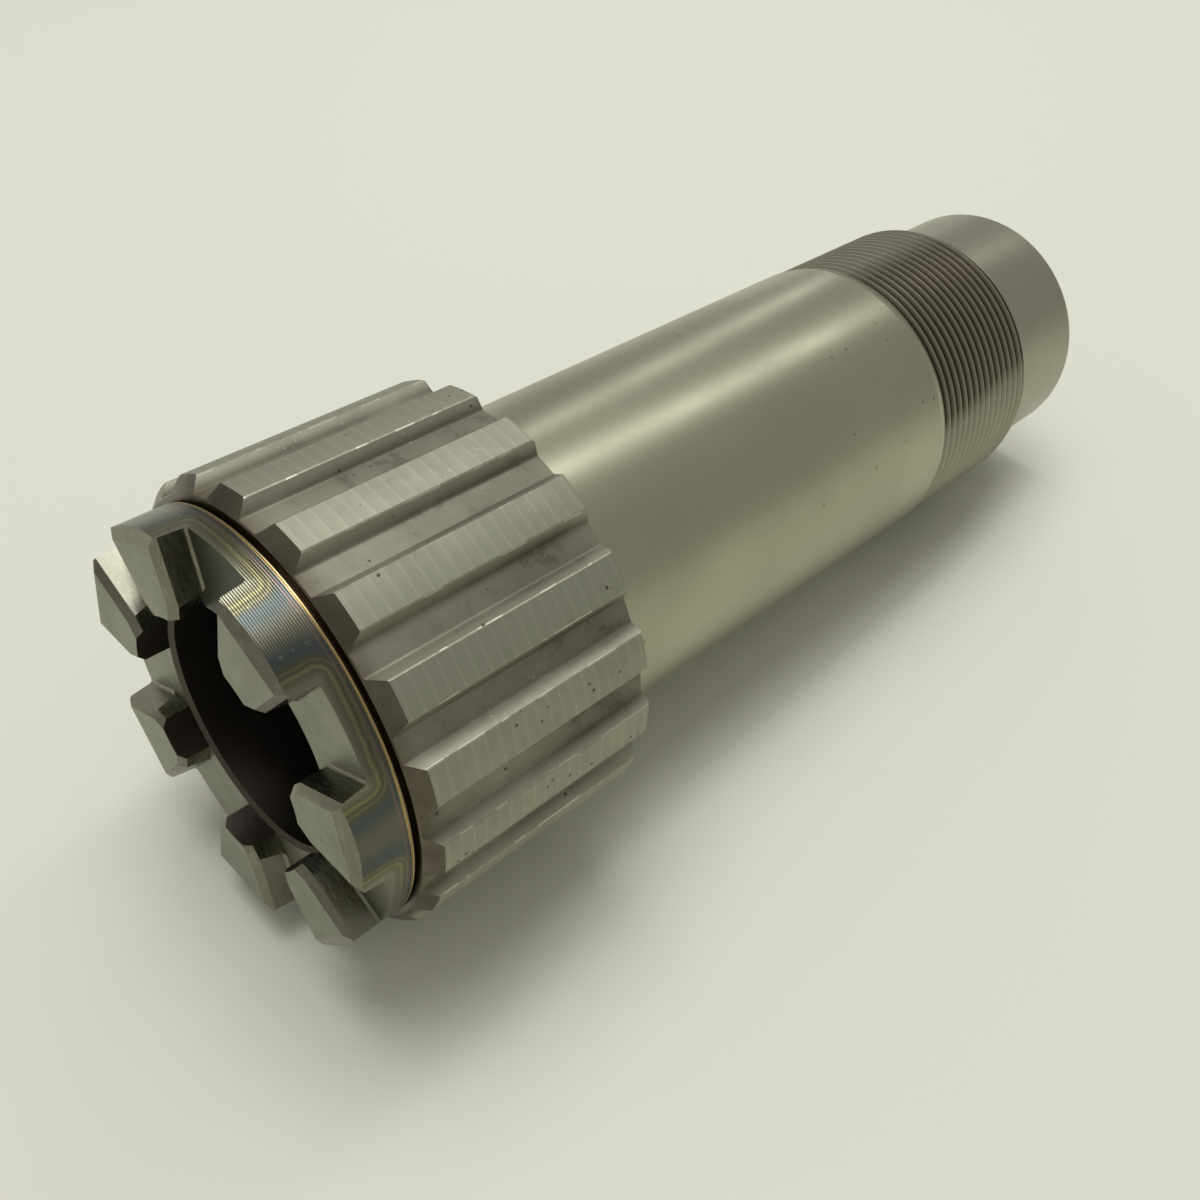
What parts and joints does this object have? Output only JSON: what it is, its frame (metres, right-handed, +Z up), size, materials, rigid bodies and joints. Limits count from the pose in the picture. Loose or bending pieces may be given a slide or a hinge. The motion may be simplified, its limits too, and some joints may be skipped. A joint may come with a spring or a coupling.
{
  "type": "splined shaft",
  "caption": "Hollow one-piece drive shaft with a dog clutch face, a wide-toothed spline, a ground journal, a locknut thread and a plain pilot end.",
  "frame": {"origin": "on the shaft's axis, in the plane of the dogs' flat front faces", "axes": "+X along the axis from the dog clutch to the pilot end; +Z up as the shaft lies on two spline teeth and the thread's rear edge, with a tooth space and one dog facing straight down; the mid-plane XZ is a plane of symmetry of the solid"},
  "size_m": [0.1468, 0.055, 0.0548],
  "materials": {
    "steel": "bare alloy steel, turned, milled and ground, heat tinted round the dogs, with light rust specks"
  },
  "bodies": {
    "root": {"splined_shaft": "steel"}
  },
  "joints": []
}
